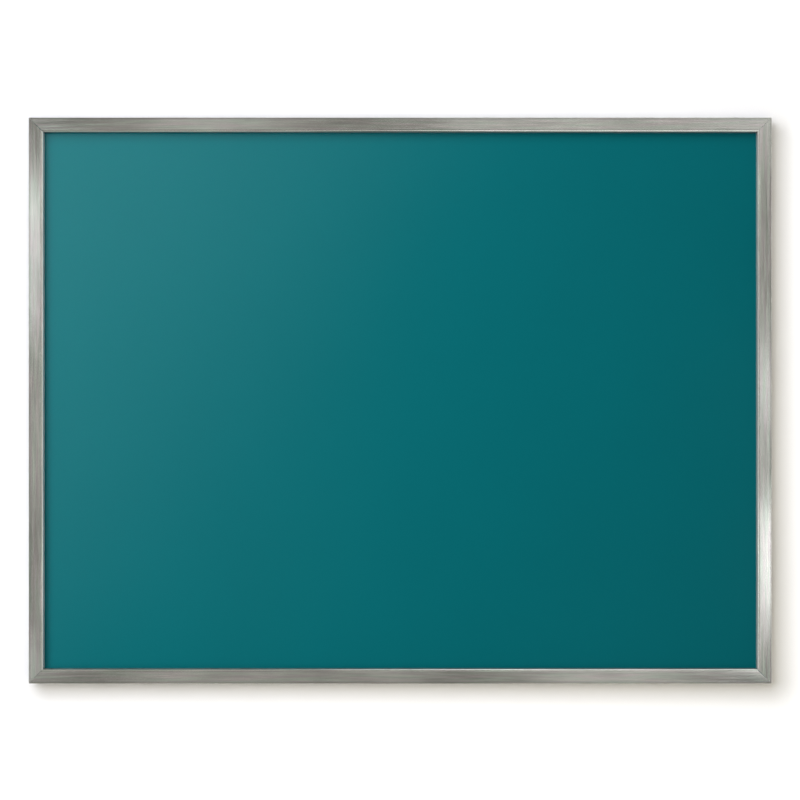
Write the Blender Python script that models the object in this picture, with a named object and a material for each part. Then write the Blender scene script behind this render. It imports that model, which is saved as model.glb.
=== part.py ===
"""Framed magnetic board: a coated steel sheet and a hardboard backing in a mitred metal section frame.

The frame is four lengths of one extruded section. The front half of the section holds the sheet, the
backing and the leaf springs that press them forward. The rear half is a channel with a slot, which holds
the corner plates, the hangers and their screws. Two rings swing on the hangers, and four bumpers keep the
board off the wall. Units are metres. The wall is the plane y = 0, the board faces -Y, and Z is up.

In a side's or a corner's own axes, x runs along the side, y runs back from the frame's front face, and z
runs inwards from the frame's outer edge.
"""
import math

import bmesh
import bpy
from mathutils import Matrix, Vector

# Overall size, and the clearance between pieces that rest on each other
WIDTH = 0.640
HEIGHT = 0.4875
FACE_WIDTH = 0.0124
FIT_GAP = 0.0003
OVERRUN = 0.001

# Frame section, front half: face, inner lip, and the groove and bead along the inner edge
OUTER_WALL = 0.0013
FRONT_SKIN = 0.0015
LIP_THICKNESS = 0.0016
LIP_DEPTH = 0.0077
EDGE_RADIUS = 0.0009
BEAD_WIDTH = 0.0016
BEAD_HEIGHT = 0.0009
GROOVE_WIDTH = 0.0005
GROOVE_DEPTH = 0.0004
MITRE_GAP = 0.0003

# Frame section, rear half: web, channel and slotted back
WEB_THICKNESS = 0.0011
UPSTAND_THICKNESS = 0.0012
UPSTAND_SETBACK = 0.0013
REAR_LIP_THICKNESS = 0.0011
REAR_LIP_REACH = 0.0014
REAR_EDGE_RADIUS = 0.0004

# Sheet and backing
SHEET_THICKNESS = 0.0008
SHEET_CORNER_RADIUS = 0.0015
BACKING_THICKNESS = 0.0032
BACKING_CORNER_RADIUS = 0.0010
PANEL_CLEARANCE = 0.0020

# Leaf springs between the backing and the web
SPRING_LENGTH = 0.046
SPRING_WIDTH = 0.013
SPRING_THICKNESS = 0.0005
SPRING_BOW = 0.0011
SPRING_WALL_CLEARANCE = 0.0020
SPRING_SPACING = 0.300

# Corner plates, their shims and screws
CHANNEL_CLEARANCE = 0.0005
PLATE_THICKNESS = 0.0015
PLATE_CORNER_RADIUS = 0.0008
SHIM_THICKNESS = 0.0010
CORNER_LEG = 0.032
CORNER_SCREW_DISTANCE = 0.0215
SCREW_SHANK_RADIUS = 0.00175
SCREW_POINT_HEIGHT = 0.0004
SCREW_HOLE_CLEARANCE = 0.0003
SCREW_HEAD_CLEARANCE = 0.0005
SCREW_HEAD_THICKNESS = 0.0010
SCREW_HEAD_CHAMFER = 0.0002
SCREW_SLOT_WIDTH = 0.0008
SCREW_SLOT_DEPTH = 0.0005

# Hangers and their rings
HANGER_DROP = 0.122
HANGER_LENGTH = 0.026
HANGER_EYE_MARGIN = 0.0065
HANGER_SCREW_MARGIN = 0.0065
EYE_WIDTH = 0.0046
EYE_WALL = 0.00095
RING_WIRE_RADIUS = 0.0009
RING_BORE_CLEARANCE = 0.00035
RING_BACK_CLEARANCE = 0.00035
RING_INNER_WIDTH = 0.0070
RING_INNER_HEIGHT = 0.0086
RING_BEND_RADIUS = 0.0015
EYE_WALL_CLEARANCE = 0.00045

# Bumpers
BUMPER_RADIUS = 0.0050
BUMPER_TOP_RADIUS = 0.0043
BUMPER_EDGE = 0.0006
BUMPER_INSET = 0.060

# Smoothness of round shapes, in counts
ARC_STEPS = 5
BOW_STEPS = 12
RING_BEND_STEPS = 4
RING_END_STEPS = 12
RING_SECTION_STEPS = 3
SCREW_SIDES = 20
HOLE_SIDES = 24
BUMPER_SIDES = 28

# Depths from the front face, in the order in which the pieces are stacked
SHEET_FRONT = LIP_DEPTH + FIT_GAP
SHEET_BACK = SHEET_FRONT + SHEET_THICKNESS
BACKING_FRONT = SHEET_BACK + FIT_GAP
BACKING_BACK = BACKING_FRONT + BACKING_THICKNESS
SPRING_FRONT = BACKING_BACK + FIT_GAP
WEB_FRONT = SPRING_FRONT + SPRING_BOW + SPRING_THICKNESS + FIT_GAP
WEB_BACK = WEB_FRONT + WEB_THICKNESS
SHIM_FRONT = WEB_BACK + FIT_GAP
SHIM_BACK = SHIM_FRONT + SHIM_THICKNESS
SCREW_TIP = SHIM_BACK + FIT_GAP
PLATE_FRONT = SCREW_TIP + FIT_GAP
PLATE_BACK = PLATE_FRONT + PLATE_THICKNESS
REAR_LIP_FRONT = PLATE_BACK + FIT_GAP
FRAME_DEPTH = REAR_LIP_FRONT + REAR_LIP_THICKNESS

# Widths across the section, from the frame's outer edge
CHANNEL_WIDTH = FACE_WIDTH - OUTER_WALL - UPSTAND_THICKNESS - UPSTAND_SETBACK
CHANNEL_INNER_EDGE = OUTER_WALL + CHANNEL_WIDTH
CHANNEL_MIDDLE = OUTER_WALL + CHANNEL_WIDTH / 2
UPSTAND_INNER_FACE = CHANNEL_INNER_EDGE + UPSTAND_THICKNESS
SLOT_WIDTH = CHANNEL_WIDTH - 2 * REAR_LIP_REACH
PLATE_WIDTH = CHANNEL_WIDTH - 2 * CHANNEL_CLEARANCE
PLATE_OUTER_EDGE = OUTER_WALL + CHANNEL_CLEARANCE
PLATE_INNER_EDGE = PLATE_OUTER_EDGE + PLATE_WIDTH
SCREW_HEAD_RADIUS = SLOT_WIDTH / 2 - SCREW_HEAD_CLEARANCE
SCREW_HOLE_RADIUS = SCREW_SHANK_RADIUS + SCREW_HOLE_CLEARANCE
PANEL_MARGIN = OUTER_WALL + PANEL_CLEARANCE
PANEL_WIDTH = WIDTH - 2 * PANEL_MARGIN
PANEL_HEIGHT = HEIGHT - 2 * PANEL_MARGIN

# Hanger eye, ring axis and the distance that the bumpers keep from the wall
EYE_BORE_RADIUS = RING_WIRE_RADIUS + RING_BORE_CLEARANCE
EYE_RADIUS = EYE_BORE_RADIUS + EYE_WALL
RING_AXIS_DEPTH = FRAME_DEPTH + RING_BACK_CLEARANCE + RING_WIRE_RADIUS
WALL_DEPTH = RING_AXIS_DEPTH + EYE_RADIUS + EYE_WALL_CLEARANCE
BUMPER_THICKNESS = WALL_DEPTH - FRAME_DEPTH - FIT_GAP
FRONT_Y = -WALL_DEPTH
HANGER_HEIGHT = HEIGHT / 2 - HANGER_DROP

# Each side and corner by name: the signs of its place in x and z, and its turn about Y
SIDES = {
    "bottom": (0, -1, 0),
    "right": (1, 0, -math.pi / 2),
    "top": (0, 1, math.pi),
    "left": (-1, 0, math.pi / 2),
}
CORNERS = {
    "bottom_left": (-1, -1, 0),
    "bottom_right": (1, -1, -math.pi / 2),
    "top_right": (1, 1, math.pi),
    "top_left": (-1, 1, math.pi / 2),
}


def clear_scene():
    for obj in list(bpy.data.objects):
        bpy.data.objects.remove(obj, do_unlink=True)


def make_material(name, colour, roughness, metallic):
    material = bpy.data.materials.new(name)
    material.use_nodes = True
    shader = material.node_tree.nodes["Principled BSDF"]
    shader.inputs["Base Color"].default_value = (*colour, 1)
    shader.inputs["Roughness"].default_value = roughness
    shader.inputs["Metallic"].default_value = metallic
    material.diffuse_color = (*colour, 1)
    return material


def add_marker(name, location, turn):
    """An empty that carries the pieces of one side, corner or hanger."""
    marker = bpy.data.objects.new(name, None)
    marker.location = location
    marker.rotation_euler = (0, turn, 0)
    bpy.context.collection.objects.link(marker)
    return marker


def add_piece(name, data, material, marker, place):
    """One sub-part at a place in its marker's axes."""
    piece = bpy.data.objects.new(name, data)
    piece.parent = marker
    piece.location = place
    piece.material_slots[0].link = "OBJECT"
    piece.material_slots[0].material = material
    bpy.context.collection.objects.link(piece)
    return piece


def finished_mesh(name, bm, smooth=False):
    """A mesh with outward faces and one material slot; smooth rounds its shading below 35 degrees."""
    bmesh.ops.recalc_face_normals(bm, faces=bm.faces)
    mesh = bpy.data.meshes.new(name)
    bm.to_mesh(mesh)
    bm.free()
    mesh.materials.append(None)
    if smooth:
        mesh.shade_smooth()
        mesh.set_sharp_from_angle(angle=math.radians(35))
    return mesh


def arc(centre, radii, start, end, steps):
    """Points on a quarter or part of an ellipse, with the angles in degrees."""
    points = []
    for step in range(steps + 1):
        angle = math.radians(start + (end - start) * step / steps)
        points.append((centre[0] + radii[0] * math.cos(angle), centre[1] + radii[1] * math.sin(angle)))
    return points


def rounded(corners, radius):
    """A closed outline with each corner turned into an arc."""
    outline = []
    for index, corner in enumerate(corners):
        here = Vector(corner)
        back = (Vector(corners[index - 1]) - here).normalized()
        ahead = (Vector(corners[(index + 1) % len(corners)]) - here).normalized()
        half_angle = back.angle(ahead) / 2
        centre = here + (back + ahead).normalized() * (radius / math.sin(half_angle))
        reach = radius / math.tan(half_angle)
        start = here + back * reach - centre
        end = here + ahead * reach - centre
        for step in range(ARC_STEPS + 1):
            outline.append(centre + start.lerp(end, step / ARC_STEPS).normalized() * radius)
    return outline


def rectangle(left, bottom, right, top):
    return [(left, bottom), (right, bottom), (right, top), (left, top)]


def prism(name, outline, depth):
    """An outline in x and z, extruded from y = 0 to y = depth."""
    bm = bmesh.new()
    front = bm.faces.new([bm.verts.new((x, 0, z)) for x, z in outline])
    extruded = bmesh.ops.extrude_face_region(bm, geom=[front])
    back = [item for item in extruded["geom"] if isinstance(item, bmesh.types.BMVert)]
    bmesh.ops.translate(bm, verts=back, vec=(0, depth, 0))
    return finished_mesh(name, bm)


def turned(name, profile, sides):
    """A solid of revolution about Y from pairs of radius and height, with flat ends."""
    bm = bmesh.new()
    rings = []
    for radius, height in profile:
        ring = []
        for side in range(sides):
            angle = 2 * math.pi * side / sides
            ring.append(bm.verts.new((radius * math.cos(angle), height, radius * math.sin(angle))))
        rings.append(ring)
    for low, high in zip(rings, rings[1:]):
        for side in range(sides):
            after = (side + 1) % sides
            bm.faces.new((low[side], low[after], high[after], high[side]))
    bm.faces.new(rings[0])
    bm.faces.new(rings[-1])
    return finished_mesh(name, bm, smooth=True)


def rod(radius, length):
    """A cutter along Y that runs past both ends of its length."""
    return turned("rod", [(radius, -OVERRUN), (radius, length + OVERRUN)], HOLE_SIDES)


def combined(name, base, tools, operation):
    """The base mesh after a union with, or a cut by, each tool mesh at its place and turn."""
    body = bpy.data.objects.new("body", base)
    bpy.context.collection.objects.link(body)
    helpers = []
    for mesh, matrix in tools:
        helper = bpy.data.objects.new("helper", mesh)
        helper.matrix_world = matrix
        bpy.context.collection.objects.link(helper)
        helpers.append(helper)
        modifier = body.modifiers.new("join", "BOOLEAN")
        modifier.operation = operation
        modifier.solver = "EXACT"
        modifier.object = helper
    bpy.context.view_layer.update()
    evaluated = body.evaluated_get(bpy.context.evaluated_depsgraph_get())
    mesh = bpy.data.meshes.new_from_object(evaluated)
    mesh.name = name
    for obj in [body, *helpers]:
        bpy.data.objects.remove(obj, do_unlink=True)
    return mesh


def frame_section():
    """The extrusion's outline as pairs of width from the outer edge and depth from the front face."""
    bead_start = FACE_WIDTH - BEAD_WIDTH
    groove_start = bead_start - GROOVE_WIDTH
    groove_taper = GROOVE_WIDTH / 5
    slot_outer = CHANNEL_MIDDLE - SLOT_WIDTH / 2
    slot_inner = CHANNEL_MIDDLE + SLOT_WIDTH / 2
    outer_edge = arc((EDGE_RADIUS, EDGE_RADIUS), (EDGE_RADIUS, EDGE_RADIUS), 180, 270, ARC_STEPS)
    groove = [
        (groove_start, 0),
        (groove_start + groove_taper, GROOVE_DEPTH),
        (bead_start - groove_taper, GROOVE_DEPTH),
    ]
    bead = arc((bead_start, BEAD_HEIGHT), (BEAD_WIDTH, BEAD_HEIGHT), -90, 0, ARC_STEPS)
    rebate = [
        (FACE_WIDTH, LIP_DEPTH),
        (FACE_WIDTH - LIP_THICKNESS, LIP_DEPTH),
        (FACE_WIDTH - LIP_THICKNESS, FRONT_SKIN),
        (OUTER_WALL, FRONT_SKIN),
        (OUTER_WALL, WEB_FRONT),
        (UPSTAND_INNER_FACE, WEB_FRONT),
    ]
    inner_rear = (UPSTAND_INNER_FACE - REAR_EDGE_RADIUS, FRAME_DEPTH - REAR_EDGE_RADIUS)
    upstand = arc(inner_rear, (REAR_EDGE_RADIUS, REAR_EDGE_RADIUS), 0, 90, ARC_STEPS)
    channel = [
        (slot_inner, FRAME_DEPTH),
        (slot_inner, REAR_LIP_FRONT),
        (CHANNEL_INNER_EDGE, REAR_LIP_FRONT),
        (CHANNEL_INNER_EDGE, WEB_BACK),
        (OUTER_WALL, WEB_BACK),
        (OUTER_WALL, REAR_LIP_FRONT),
        (slot_outer, REAR_LIP_FRONT),
        (slot_outer, FRAME_DEPTH),
    ]
    outer_rear = (REAR_EDGE_RADIUS, FRAME_DEPTH - REAR_EDGE_RADIUS)
    rear_edge = arc(outer_rear, (REAR_EDGE_RADIUS, REAR_EDGE_RADIUS), 90, 180, ARC_STEPS)
    return outer_edge + groove + bead + rebate + upstand + channel + rear_edge


def rail_mesh(name, length):
    """One length of the section along x, mitred at both ends."""
    setback = MITRE_GAP / 2 * math.sqrt(2)
    section = frame_section()
    bm = bmesh.new()
    ends = []
    for sign in (-1, 1):
        ends.append([bm.verts.new((sign * (length / 2 - width - setback), depth, width))
                     for width, depth in section])
    for index in range(len(section)):
        after = (index + 1) % len(section)
        bm.faces.new((ends[0][index], ends[0][after], ends[1][after], ends[1][index]))
    for end in ends:
        bm.faces.new(end)
    return finished_mesh(name, bm, smooth=True)


def panel_mesh(name, thickness, radius):
    """A flat sheet of the panel's size, centred in x and z."""
    half_width = PANEL_WIDTH / 2
    half_height = PANEL_HEIGHT / 2
    corners = rectangle(-half_width, -half_height, half_width, half_height)
    return prism(name, rounded(corners, radius), thickness)


def spring_mesh():
    """A leaf bowed back in the middle: its ends press on the backing and its crown on the web."""
    bm = bmesh.new()
    front = []
    back = []
    for step in range(BOW_STEPS + 1):
        share = 2 * step / BOW_STEPS - 1
        bow = SPRING_BOW * (1 + math.cos(math.pi * share)) / 2
        front.append((share * SPRING_LENGTH / 2, bow))
        back.append((share * SPRING_LENGTH / 2, bow + SPRING_THICKNESS))
    outline = front + back[::-1]
    face = bm.faces.new([bm.verts.new((x, y, 0)) for x, y in outline])
    extruded = bmesh.ops.extrude_face_region(bm, geom=[face])
    far_side = [item for item in extruded["geom"] if isinstance(item, bmesh.types.BMVert)]
    bmesh.ops.translate(bm, verts=far_side, vec=(0, 0, SPRING_WIDTH))
    return finished_mesh("leaf_spring", bm, smooth=True)


def corner_plate_mesh():
    """An L in the corner's axes, with one screw hole in each leg."""
    outline = rounded(corner_outline(CORNER_LEG), PLATE_CORNER_RADIUS)
    holes = []
    for x, z in corner_screw_places():
        holes.append((rod(SCREW_HOLE_RADIUS, PLATE_THICKNESS), Matrix.Translation((x, 0, z))))
    plate = prism("corner_plate_blank", outline, PLATE_THICKNESS)
    return combined("corner_plate", plate, holes, "DIFFERENCE")


def corner_outline(leg):
    near = PLATE_OUTER_EDGE
    far = PLATE_INNER_EDGE
    return [(near, near), (leg, near), (leg, far), (far, far), (far, leg), (near, leg)]


def corner_screw_places():
    return [(CORNER_SCREW_DISTANCE, CHANNEL_MIDDLE), (CHANNEL_MIDDLE, CORNER_SCREW_DISTANCE)]


def shim_mesh():
    return prism("shim", rounded(corner_outline(CORNER_LEG), PLATE_CORNER_RADIUS), SHIM_THICKNESS)


def screw_mesh(name, tip_depth):
    """A slotted screw from its tip depth to a head just behind the corner or hanger plate."""
    head_start = REAR_LIP_FRONT - tip_depth
    head_end = head_start + SCREW_HEAD_THICKNESS
    tip_radius = SCREW_SHANK_RADIUS - SCREW_POINT_HEIGHT
    profile = [
        (tip_radius, 0),
        (SCREW_SHANK_RADIUS, SCREW_POINT_HEIGHT),
        (SCREW_SHANK_RADIUS, head_start),
        (SCREW_HEAD_RADIUS, head_start),
        (SCREW_HEAD_RADIUS, head_end - SCREW_HEAD_CHAMFER),
        (SCREW_HEAD_RADIUS - SCREW_HEAD_CHAMFER, head_end),
    ]
    reach = SCREW_HEAD_RADIUS + OVERRUN
    slot = prism("slot", rectangle(-SCREW_SLOT_WIDTH / 2, -reach, SCREW_SLOT_WIDTH / 2, reach),
                 SCREW_SLOT_DEPTH + OVERRUN)
    place = Matrix.Translation((0, head_end - SCREW_SLOT_DEPTH, 0))
    return combined(name, turned(name + "_blank", profile, SCREW_SIDES), [(slot, place)], "DIFFERENCE")


def hanger_mesh():
    """A plate that lies in the channel, with an eye that stands out through the slot.

    Its origin is on the ring's axis.
    """
    plate_start = PLATE_FRONT - RING_AXIS_DEPTH
    screw_height = HANGER_LENGTH - HANGER_EYE_MARGIN - HANGER_SCREW_MARGIN
    corners = rectangle(-PLATE_WIDTH / 2, -HANGER_EYE_MARGIN,
                        PLATE_WIDTH / 2, HANGER_LENGTH - HANGER_EYE_MARGIN)
    plate = prism("hanger_plate", rounded(corners, PLATE_CORNER_RADIUS), PLATE_THICKNESS)
    plate.transform(Matrix.Translation((0, plate_start, 0)))
    foot = plate_start + PLATE_THICKNESS / 2
    arch = arc((0, 0), (EYE_RADIUS, EYE_RADIUS), 0, 180, HOLE_SIDES // 2)
    eye = prism("eye", [(-EYE_RADIUS, foot), (EYE_RADIUS, foot), *arch], EYE_WIDTH)
    along_axis = Matrix(((0, 1, 0, -EYE_WIDTH / 2), (0, 0, 1, 0), (1, 0, 0, 0), (0, 0, 0, 1)))
    joined = combined("hanger_blank", plate, [(eye, along_axis)], "UNION")
    across = Matrix.Translation((EYE_WIDTH / 2, 0, 0)) @ Matrix.Rotation(math.pi / 2, 4, "Z")
    bore = rod(EYE_BORE_RADIUS, EYE_WIDTH)
    hole = rod(SCREW_HOLE_RADIUS, PLATE_THICKNESS)
    hole_place = Matrix.Translation((0, plate_start, screw_height))
    return combined("hanger", joined, [(bore, across), (hole, hole_place)], "DIFFERENCE"), screw_height


def ring_curve():
    """A wire D about the origin: its bar lies along x in the eye and its bow hangs down."""
    half_width = RING_INNER_WIDTH / 2 + RING_WIRE_RADIUS
    bow_centre = half_width - RING_INNER_HEIGHT - 2 * RING_WIRE_RADIUS
    bend_x = half_width - RING_BEND_RADIUS
    bend = (RING_BEND_RADIUS, RING_BEND_RADIUS)
    bow = (half_width, half_width)
    points = arc((bend_x, -RING_BEND_RADIUS), bend, 90, 0, RING_BEND_STEPS)
    points += arc((0, bow_centre), bow, 0, -180, RING_END_STEPS)
    points += arc((-bend_x, -RING_BEND_RADIUS), bend, 180, 90, RING_BEND_STEPS)
    curve = bpy.data.curves.new("hanging_ring", "CURVE")
    curve.dimensions = "3D"
    curve.bevel_depth = RING_WIRE_RADIUS
    curve.bevel_resolution = RING_SECTION_STEPS
    spline = curve.splines.new("POLY")
    spline.points.add(len(points) - 1)
    for point, (x, z) in zip(spline.points, points):
        point.co = (x, 0, z, 1)
    spline.use_cyclic_u = True
    curve.materials.append(None)
    return curve


def bumper_mesh():
    """A rubber button, from its adhesive face at y = 0 to its flat face on the wall."""
    taper_end = BUMPER_THICKNESS - BUMPER_EDGE
    top = arc((BUMPER_TOP_RADIUS - BUMPER_EDGE, taper_end), (BUMPER_EDGE, BUMPER_EDGE), 0, 90, ARC_STEPS)
    return turned("bumper", [(BUMPER_RADIUS, 0), (BUMPER_RADIUS, BUMPER_EDGE), *top], BUMPER_SIDES)


def build_frame(material):
    """Four mitred rails; returns the marker of each side."""
    across = rail_mesh("rail", WIDTH)
    upright = rail_mesh("stile", HEIGHT)
    markers = {}
    for side, (x_sign, z_sign, turn) in SIDES.items():
        place = (x_sign * WIDTH / 2, FRONT_Y, z_sign * HEIGHT / 2)
        markers[side] = add_marker(side + "_side", place, turn)
        name, mesh = ("stile_", upright) if x_sign else ("rail_", across)
        add_piece(name + side, mesh, material, markers[side], (0, 0, 0))
    return markers


def build_panel(sheet_material, backing_material):
    centre = add_marker("panel", (0, FRONT_Y, 0), 0)
    sheet = panel_mesh("steel_sheet", SHEET_THICKNESS, SHEET_CORNER_RADIUS)
    add_piece("steel_sheet", sheet, sheet_material, centre, (0, SHEET_FRONT, 0))
    backing = panel_mesh("backing_board", BACKING_THICKNESS, BACKING_CORNER_RADIUS)
    add_piece("backing_board", backing, backing_material, centre, (0, BACKING_FRONT, 0))


def build_springs(markers, material):
    """Two leaf springs on each rail and one on each stile, edge on under the web."""
    leaf = spring_mesh()
    inset = OUTER_WALL + SPRING_WALL_CLEARANCE
    for side, marker in markers.items():
        if SIDES[side][0]:
            add_piece("spring_" + side, leaf, material, marker, (0, SPRING_FRONT, inset))
            continue
        for name, sign in (("left", -1), ("right", 1)):
            along = sign * -SIDES[side][1] * SPRING_SPACING / 2
            place = (along, SPRING_FRONT, inset)
            add_piece("spring_" + side + "_" + name, leaf, material, marker, place)


def build_corners(plate_material, screw_material):
    """A shim, a plate and two screws in the channel at each corner."""
    plate = corner_plate_mesh()
    shim = shim_mesh()
    screw = screw_mesh("corner_screw", SCREW_TIP)
    for corner, (x_sign, z_sign, turn) in CORNERS.items():
        marker = add_marker(corner, (x_sign * WIDTH / 2, FRONT_Y, z_sign * HEIGHT / 2), turn)
        add_piece("shim_" + corner, shim, plate_material, marker, (0, SHIM_FRONT, 0))
        add_piece("corner_plate_" + corner, plate, plate_material, marker, (0, PLATE_FRONT, 0))
        for number, (x, z) in enumerate(corner_screw_places(), 1):
            name = "corner_screw_" + corner + "_" + str(number)
            add_piece(name, screw, screw_material, marker, (x, SCREW_TIP, z))


def build_hangers(plate_material, screw_material, ring_material):
    """A hanger, its screw and its ring in each stile; the marker stands on the ring's axis."""
    hanger, screw_height = hanger_mesh()
    tip = WEB_BACK + FIT_GAP
    screw = screw_mesh("hanger_screw", tip)
    ring = ring_curve()
    for name, sign in (("left", -1), ("right", 1)):
        x = sign * (WIDTH / 2 - CHANNEL_MIDDLE)
        marker = add_marker("ring_axis_" + name, (x, FRONT_Y + RING_AXIS_DEPTH, HANGER_HEIGHT), 0)
        add_piece("hanger_" + name, hanger, plate_material, marker, (0, 0, 0))
        add_piece("hanger_screw_" + name, screw, screw_material, marker,
                  (0, tip - RING_AXIS_DEPTH, screw_height))
        add_piece("ring_" + name, ring, ring_material, marker, (0, 0, 0))


def build_bumpers(markers, material):
    """Two bumpers on each rail, across the slot."""
    bumper = bumper_mesh()
    for side in ("bottom", "top"):
        for name, sign in (("left", -1), ("right", 1)):
            along = sign * -SIDES[side][1] * (WIDTH / 2 - BUMPER_INSET)
            place = (along, FRAME_DEPTH + FIT_GAP, CHANNEL_MIDDLE)
            add_piece("bumper_" + side + "_" + name, bumper, material, markers[side], place)


def main():
    clear_scene()
    frame_metal = make_material("frame_metal", (0.42, 0.40, 0.38), 0.32, 1)
    teal_coat = make_material("teal_coat", (0.003, 0.133, 0.147), 0.40, 0)
    hardboard = make_material("hardboard", (0.19, 0.10, 0.05), 0.85, 0)
    zinc = make_material("zinc", (0.55, 0.55, 0.54), 0.40, 1)
    spring_steel = make_material("spring_steel", (0.30, 0.31, 0.33), 0.35, 1)
    nickel = make_material("nickel", (0.62, 0.59, 0.54), 0.20, 1)
    rubber = make_material("rubber", (0.02, 0.02, 0.02), 0.75, 0)
    markers = build_frame(frame_metal)
    build_panel(teal_coat, hardboard)
    build_springs(markers, spring_steel)
    build_corners(zinc, zinc)
    build_hangers(zinc, zinc, nickel)
    build_bumpers(markers, rubber)


main()
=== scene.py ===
"""Looks of the framed magnetic board: brushed metal frame, satin teal sheet, and the hardware behind.

The board hangs on a white wall and faces -Y. Every size is in metres. The frame and its fittings are rebuilt
here with finer sections and rounded edges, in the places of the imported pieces, and every piece gets a
procedural finish.
"""
import math

import bmesh
import bpy
from mathutils import Matrix, Vector


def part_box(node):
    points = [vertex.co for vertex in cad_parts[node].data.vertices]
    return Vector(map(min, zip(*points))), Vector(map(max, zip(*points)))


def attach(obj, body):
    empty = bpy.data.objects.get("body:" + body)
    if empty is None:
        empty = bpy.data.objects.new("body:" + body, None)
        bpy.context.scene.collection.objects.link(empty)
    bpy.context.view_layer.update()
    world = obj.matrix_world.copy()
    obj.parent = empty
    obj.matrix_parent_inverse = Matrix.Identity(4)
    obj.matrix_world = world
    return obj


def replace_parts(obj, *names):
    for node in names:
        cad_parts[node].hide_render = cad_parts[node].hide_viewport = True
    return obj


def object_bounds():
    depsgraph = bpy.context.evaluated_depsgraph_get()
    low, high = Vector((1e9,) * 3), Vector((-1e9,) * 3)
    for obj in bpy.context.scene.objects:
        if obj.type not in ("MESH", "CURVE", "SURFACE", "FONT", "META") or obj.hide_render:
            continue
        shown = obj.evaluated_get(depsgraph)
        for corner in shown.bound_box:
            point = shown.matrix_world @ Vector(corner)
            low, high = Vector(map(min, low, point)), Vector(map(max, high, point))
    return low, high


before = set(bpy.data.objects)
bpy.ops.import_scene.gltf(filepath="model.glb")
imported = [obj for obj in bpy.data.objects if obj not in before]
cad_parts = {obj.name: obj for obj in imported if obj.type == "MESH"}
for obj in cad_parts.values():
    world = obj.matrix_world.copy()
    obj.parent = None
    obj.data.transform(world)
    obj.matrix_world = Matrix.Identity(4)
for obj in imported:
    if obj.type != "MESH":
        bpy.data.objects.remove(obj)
CAD_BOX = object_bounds()

# The photograph in pixels: its size, the board's width and the board's centre. Then the camera's distance
# and its sensor's width in millimetres.
IMAGE_SIZE = 800
BOARD_PIXELS = 743.1
BOARD_CENTRE_PIXEL = (400.22, 400.56)
CAMERA_DISTANCE = 2.0
SENSOR_MM = 36

# The board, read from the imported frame
LOW, HIGH = CAD_BOX
WIDTH = HIGH.x - LOW.x
HEIGHT = HIGH.z - LOW.z
FRONT_Y = LOW.y
RAIL_LOW, RAIL_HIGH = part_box("rail_bottom")
FACE_WIDTH = RAIL_HIGH.z - RAIL_LOW.z
FRAME_DEPTH = RAIL_HIGH.y - RAIL_LOW.y

# The frame's section, the gap in its mitres and where painted shade darkens its outer arris
OUTER_WALL = 0.0013
FRONT_SKIN = 0.0015
LIP_THICKNESS = 0.0016
LIP_DEPTH = 0.0077
EDGE_RADIUS = 0.0004
BEAD_WIDTH = 0.00145
BEAD_HEIGHT = 0.0009
BEAD_SHOULDER = 0.00035
BEAD_ROUND = 0.00085
GROOVE_WIDTH = 0.00035
GROOVE_DEPTH = 0.00025
MITRE_GAP = 0.00016
MITRE_WEDGE = 0.00042
CROWN = 0.00003
CROWN_STEPS = 14
ARRIS_WIDTH_SPAN = (0.0002, 0.0023)
ARRIS_DEPTH_SPAN = (0.0003, 0.0012)
WEB_FRONT = 0.0145
WEB_BACK = 0.0156
REAR_LIP_FRONT = 0.0193
CHANNEL_WIDTH = 0.0086
SLOT_WIDTH = 0.0058
UPSTAND_THICKNESS = 0.0012
REAR_EDGE_RADIUS = 0.0004
SMALL_RADIUS = 0.00012
CHANNEL_MIDDLE = OUTER_WALL + CHANNEL_WIDTH / 2

# Springs, corner plates, shims and screws; depths are from the front face
SPRING_FRONT = 0.0126
SPRING_LENGTH = 0.046
SPRING_WIDTH = 0.013
SPRING_THICKNESS = 0.0005
SPRING_BOW = 0.0011
SPRING_INSET = 0.0033
SPRING_SPACING = 0.300
SPRING_CORNER = 0.0022
SPRING_EDGE = 0.00008
SHIM_FRONT = 0.0159
SHIM_THICKNESS = 0.0010
SHIM_EDGE = 0.00012
PLATE_FRONT = 0.0175
PLATE_THICKNESS = 0.0015
PLATE_WIDTH = 0.0076
PLATE_CORNER_RADIUS = 0.0008
PLATE_EDGE = 0.00022
CORNER_LEG = 0.032
CORNER_SCREW_DISTANCE = 0.0215
SCREW_TIP = 0.0172
HANGER_SCREW_TIP = 0.0159
SHANK_RADIUS = 0.00175
THREAD_DEPTH = 0.00022
THREAD_PITCH = 0.0006
HOLE_RADIUS = 0.00205
HOLE_FLARE = 0.00015
HEAD_RADIUS = 0.0024
HEAD_THICKNESS = 0.0010
HEAD_EDGE = 0.0003
SLOT_CUT_WIDTH = 0.0008
SLOT_CUT_DEPTH = 0.0005
SLOT_CUT_EDGE = 0.00005
# Where the slots of the corner screws stand: the first one's turn, and the turn from each to the next
FIRST_SCREW_DEGREES = 108
NEXT_SCREW_DEGREES = 71

# Hangers and rings, about the ring's axis, and bumpers
RING_AXIS_DEPTH = 0.02165
HANGER_X = WIDTH / 2 - CHANNEL_MIDDLE
HANGER_Z = 0.12175
HANGER_LOW = -0.0065
HANGER_HIGH = 0.0195
HANGER_SCREW_Z = 0.013
EYE_RADIUS = 0.0022
EYE_WIDTH = 0.0046
EYE_EDGE = 0.00030
EYE_BORE = 0.00125
EYE_BORE_FLARE = 0.00025
WIRE_RADIUS = 0.0009
RING_HALF_WIDTH = 0.0044
RING_BOW_Z = -0.0060
RING_BEND = 0.0015
RING_JOINT_X = 0.0027
RING_JOINT_GAP = 0.00014
RING_END_LENGTH = 0.0001
RING_END_SHARE = 0.86
BUMPER_RADIUS = 0.0050
BUMPER_TOP_RADIUS = 0.0043
BUMPER_EDGE = 0.0006
BUMPER_FOOT_EDGE = 0.00015
BUMPER_DISH = 0.00018
BUMPER_INSET = 0.060
TAPE_THICKNESS = 0.0005
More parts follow.
